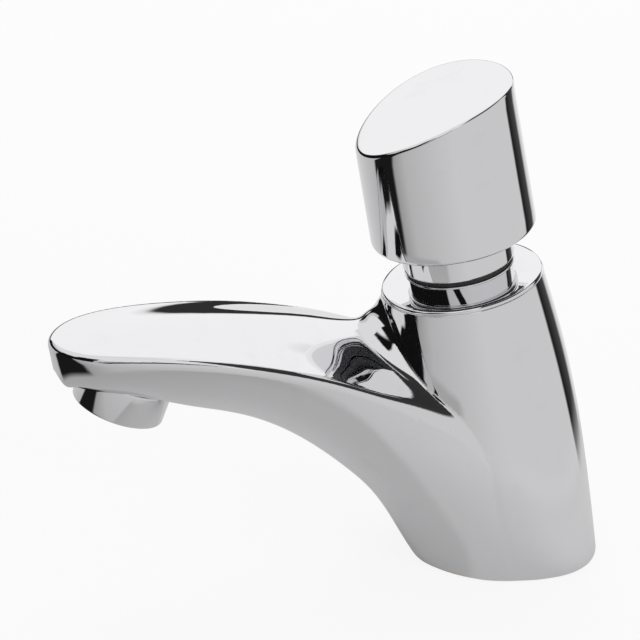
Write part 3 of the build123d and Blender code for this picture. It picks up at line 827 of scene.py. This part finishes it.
class TAP_OT_cap(bpy.types.Operator):
    """Shape the push cap with its slanted, arched top"""
    bl_idname = "tap.cap"
    bl_label = "Push cap"

    def execute(self, context):
        steps = sizes().round_steps
        radius = sizes().cap_radius / MM
        slant = sizes().cap_slant / MM
        taper = (radius - CAP_TOP_RADIUS) / (CAP_MIDDLE - CAP_LOW)

        def arch(y):
            """Height of the cap's top over a point, from an arc through front, middle and back."""
            share = y / radius
            return CAP_MIDDLE + share * slant / 2 - CAP_SAG * share * share

        flat = radius - CAP_LOW_EDGE
        outline = [("flat", CAP_BORE, 0.0), ("flat", flat, 0.0)]
        for step in range(1, 9):
            angle = radians(90 * step / 8)
            outward, upward = CAP_LOW_EDGE * sin(angle), CAP_LOW_EDGE * (1 - cos(angle))
            outline.append(("flat", flat + outward, upward))
        for step in range(1, 12):
            outline.append(("wall", step / 12, 0.0))
        for step in range(0, 7):
            angle = radians(90 * step / 6)
            inward, down = CAP_TOP_EDGE * (1 - cos(angle)), CAP_TOP_EDGE * (1 - sin(angle))
            outline.append(("edge", inward, down))
        for step in range(1, 24):
            outline.append(("top", 1 - step / 24, 0.0))
        mesh = bmesh.new()
        start = bmesh.ops.create_circle(mesh, cap_ends=False, radius=1, segments=steps)
        verts = start["verts"]
        turns = [2 * pi * number / steps for number in range(steps)]
        edges = list({edge for vert in verts for edge in vert.link_edges})

        def at(kind, first, second, turn):
            """Where a point of the outline lies at a turn round the cap."""
            if kind == "flat":
                wide, height = first, CAP_LOW + second
            elif kind == "wall":
                wall_low = CAP_LOW + CAP_LOW_EDGE
                wall_high = arch(-cos(turn) * (CAP_TOP_RADIUS - 0.02)) - CAP_TOP_EDGE
                height = wall_low + (wall_high - wall_low) * first
                wide = radius - taper * (height - CAP_LOW)
            elif kind == "edge":
                wide = CAP_TOP_RADIUS - first
                height = arch(-cos(turn) * wide) - second
            else:
                wide = (CAP_TOP_RADIUS - CAP_TOP_EDGE) * first
                height = arch(-cos(turn) * wide)
            return Vector((sin(turn) * wide, -cos(turn) * wide, height)) * MM

        for number, (kind, first, second) in enumerate(outline):
            if number:
                fresh, edges = grow(mesh, edges)
                verts = [next(edge.other_vert(vert) for edge in vert.link_edges
                              if edge.other_vert(vert) in fresh) for vert in verts]
            for vert, turn in zip(verts, turns):
                vert.co = at(kind, first, second, turn)
        bmesh.ops.contextual_create(mesh, geom=edges)
        bmesh.ops.poke(mesh, faces=[face for face in mesh.faces if len(face.verts) > 4])
        bmesh.ops.transform(mesh, matrix=COLUMN_FRAME, verts=mesh.verts)
        self.add_inside(mesh)
        bmesh.ops.remove_doubles(mesh, verts=mesh.verts, dist=1e-6)
        bmesh.ops.recalc_face_normals(mesh, faces=mesh.faces)
        finished("push_cap_shell", mesh, "button", chrome(), ("push_cap",))
        return {"FINISHED"}

    def add_inside(self, mesh):
        """Close the cap's bore with a wall and a flat roof."""
        edges = [edge for edge in mesh.edges if edge.is_boundary]
        back = COLUMN_FRAME.inverted()
        for height, wide in ((CAP_ROOF, CAP_BORE), (CAP_ROOF, 15.5), (CAP_ROOF + 1.1, 15.0)):
            fresh, edges = grow(mesh, edges)
            for vert in fresh:
                side = (back @ vert.co).xy.normalized() * (wide * MM)
                vert.co = COLUMN_FRAME @ Vector((side.x, side.y, height * MM))
        bmesh.ops.contextual_create(mesh, geom=edges)


class TAP_OT_aerator(bpy.types.Operator):
    """Turn the aerator's chromed ring"""
    bl_idname = "tap.aerator"
    bl_label = "Aerator"

    def execute(self, context):
        outline = [
            (9.0, 0.0), (12.0, 0.0), (12.0, 8.8), (11.0, 8.8), (11.0, 11.8),
            (9.8, 11.8), (9.8, 0.8), (9.0, 0.8),
        ]
        mesh = spun(eased(outline, 0.5, 4, (0, 1, 2)), OUTLET_FRAME)
        finished("turned_aerator", mesh, "tap", chrome(), ("aerator_housing",))
        return {"FINISHED"}


class TAP_OT_spring(bpy.types.Operator):
    """Make the return spring, which shortens towards the valve seat as the cap goes down"""
    # Carry over the return spring from its CAD shape, in drawn steel
    bl_idname = "tap.spring"
    bl_label = "Return spring"

    def execute(self, context):
        mesh = bmesh.new()
        mesh.from_mesh(frame["nodes"]["return_spring"].data)
        heights = [vert.co.dot(AXIS) for vert in mesh.verts]
        length = max(heights) - min(heights)
        piece = finished("coiled_spring", mesh, "tap", steel(), ("return_spring",))
        press = next(joint for joint in frame["joints"] if joint["name"] == "button_press")
        left = (length - press["range_m"][1]) / length
        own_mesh(piece)
        return {"FINISHED"}


class TAP_OT_inner_parts(bpy.types.Operator):
    """Give every carried-over part inside the tap its finish"""
    bl_idname = "tap.inner_parts"
    bl_label = "Inner parts"

    def execute(self, context):
        made = {
            "chromed_brass": chrome(),
            "plain_brass": brass(),
            "stainless_steel": steel(),
            "black_rubber": rubber(),
            "grey_plastic": plastic("grey_moulding", (0.07, 0.072, 0.076)),
            "pale_plastic": plastic("pale_moulding", (0.72, 0.71, 0.68)),
        }
        slots = {row["node"]: row["material_slot"] for row in frame["record"]["subparts"]}
        for name, node in frame["nodes"].items():
            finish = made[slots[name]]
            if node.material_slots:
                for place in node.material_slots:
                    place.material = finish
            else:
                node.data.materials.append(finish)
        return {"FINISHED"}


class TAP_OT_studio(bpy.types.Operator):
    """Set the camera, the floor, the soft lamps and the world"""
    bl_idname = "tap.studio"
    bl_label = "Studio"

    def execute(self, context):
        self.add_camera(context)
        self.add_floor(context)
        self.add_lamps(context)
        self.add_world(context)
        context.scene.view_settings.view_transform = "Standard"
        return {"FINISHED"}

    def add_camera(self, context):
        data = bpy.data.cameras.new("camera")
        data.sensor_width = 36.0
        data.lens = 210.35
        data.clip_start = 0.01
        data.clip_end = 20.0
        camera = bpy.data.objects.new("camera", data)
        context.scene.collection.objects.link(camera)
        place = Matrix((
            (0.11838, -0.41510, 0.90204, 0.851237),
            (0.99297, 0.04949, -0.10754, -0.149990),
            (0.0, 0.90843, 0.41804, 0.457975),
            (0, 0, 0, 1),
        ))
        camera.matrix_world = place
        context.scene.camera = camera

    def add_floor(self, context):
        mesh = bmesh.new()
        bmesh.ops.create_grid(mesh, x_segments=1, y_segments=1, size=3.0)
        bmesh.ops.translate(mesh, vec=(0, 0, -0.0005), verts=mesh.verts)
        data = bpy.data.meshes.new("studio_floor")
        mesh.to_mesh(data)
        mesh.free()
        floor = bpy.data.objects.new("studio_floor", data)
        context.scene.collection.objects.link(floor)
        made = Finish(material("studio_paper"))
        point = made.node("ShaderNodeTexCoord", None, out=3)
        x, y, _ = made.parts(point)
        azimuth = made.azimuth(x, y)
        radius = (x * x + y * y).root()
        shine = made.surround(azimuth)
        shine = made.blend(radius.band(0.07, 0.11), 0.55, shine)
        # Painted shadow: within 0.15 m in front of the tap, the floor shows the chrome a plain grey. It stands in
        # for the tap's own shadow mirrored in the spout's belly, and only reflections see it.
        front = made.window(azimuth, -30, 60, 8) * (1 - radius.band(0.15, 0.17))
        shine = made.blend(front, shine, 0.4)
        seen, mirrored = made.rays()
        paper = made.node("ShaderNodeBsdfDiffuse", None, Color=(0.8, 0.8, 0.8))
        bright = made.node("ShaderNodeEmission", None, Color=(1, 1, 1), Strength=1.0)
        mirror = made.node("ShaderNodeEmission", None, Color=shine, Strength=1.0)
        far = radius.band(0.05, 0.16)
        shown = made.node("ShaderNodeMixShader", None, seen * 0.88, paper, bright)
        shown = made.node("ShaderNodeMixShader", None, mirrored * (0.4 + far * 0.6), shown, mirror)
        made.node("ShaderNodeOutputMaterial", None, shown)
        data.materials.append(made.owner)

    def add_lamps(self, context):
        rows = (
            ("lamp_left", (-0.9, 0.1, 0.75), (0, -0.04, 0.05), 0.8, 5.0),
            ("lamp_right", (0.9, 0.5, 0.6), (0, -0.03, 0.05), 0.7, 3.0),
        )
        for name, spot, aim, size, power in rows:
            data = bpy.data.lights.new(name, "AREA")
            data.shape = "SQUARE"
            data.size = size
            data.energy = power
            lamp = bpy.data.objects.new(name, data)
            context.scene.collection.objects.link(lamp)
            lamp.location = spot
            lamp.rotation_mode = "QUATERNION"
            lamp.rotation_quaternion = (Vector(aim) - Vector(spot)).to_track_quat("-Z", "Y")
            lamp.visible_glossy = False

    def add_world(self, context):
        world = bpy.data.worlds.new("studio")
        context.scene.world = world
        made = Finish(world)
        way = made.node("ShaderNodeTexCoord", None, out=0)
        x, y, z = made.parts(way)
        azimuth = made.azimuth(x, y)
        height = made.node("ShaderNodeMath", {"operation": "ARCSINE"}, z) * (180 / pi)
        shine = made.surround(azimuth)
        # Dark and bright areas that the chrome mirrors, each by degrees round the tap and degrees up
        over = made.window(azimuth, -66, 95, 6) * height.band(29, 33)
        shine = made.blend(over, shine, 0.8)
        room = made.window(azimuth, -68, 27, 3) * made.window(height, -6, 22, 3)
        shine = made.blend(room, shine, 0.006)
        door = made.window(azimuth, 14, 46, 3) * made.window(height, -6, 43, 3)
        shine = made.blend(door, shine, 0.006)
        strip = made.window(azimuth, -122, -66, 5) * made.window(height, -5, 9, 2.5)
        shine = made.blend(strip, shine, 0.03)
        slant = azimuth - height * 0.75
        slot = made.window(slant, 48, 60, 2) * made.window(height, -11, 40, 3)
        shine = made.blend(slot, shine, 0.006)
        behind = made.window(azimuth, 95, 230, 8) + made.window(azimuth, -230, -140, 6)
        overhead = behind * height.band(40, 48)
        shine = made.blend(overhead, shine, 0.035)
        soft = made.window(azimuth, -136, -66, 5) * made.window(height, 11, 58, 3)
        shine = made.blend(soft, shine, 0.99)
        seen, mirrored = made.rays()
        level = 0.6 * (1 - seen) * (1 - mirrored) + seen + mirrored * shine
        back = made.node("ShaderNodeBackground", None, Color=level, Strength=1.0)
        made.node("ShaderNodeOutputWorld", None, back)


class TAP_PT_panel(bpy.types.Panel):
    """Steps that dress the tap"""
    bl_idname = "TAP_PT_panel"
    bl_label = "Push timed tap"
    bl_space_type = "VIEW_3D"
    bl_region_type = "UI"
    bl_category = "Tap"

    def draw(self, context):
        column = self.layout.column()
        for step in STEPS:
            column.operator(step.bl_idname)
        for group in (context.scene.tap_sizes, context.scene.tap_finishes):
            box = self.layout.box()
            for name in group.__annotations__:
                box.prop(group, name)


STEPS = (
    TAP_OT_studio,
    TAP_OT_body,
    TAP_OT_head,
    TAP_OT_neck,
    TAP_OT_cap,
    TAP_OT_aerator,
    TAP_OT_spring,
    TAP_OT_inner_parts,
)
CLASSES = (TapSizes, TapFinishes, *STEPS, TAP_PT_panel)


def register():
    for item in CLASSES:
        bpy.utils.register_class(item)
    bpy.types.Scene.tap_sizes = PointerProperty(type=TapSizes)
    bpy.types.Scene.tap_finishes = PointerProperty(type=TapFinishes)


def unregister():
    del bpy.types.Scene.tap_finishes
    del bpy.types.Scene.tap_sizes
    for item in reversed(CLASSES):
        bpy.utils.unregister_class(item)


def main():
    register()
    bpy.ops.tap.studio()
    bpy.ops.tap.body()
    bpy.ops.tap.head()
    bpy.ops.tap.neck()
    bpy.ops.tap.cap()
    bpy.ops.tap.aerator()
    bpy.ops.tap.spring()
    bpy.ops.tap.inner_parts()


if __name__ == "__main__":
    main()
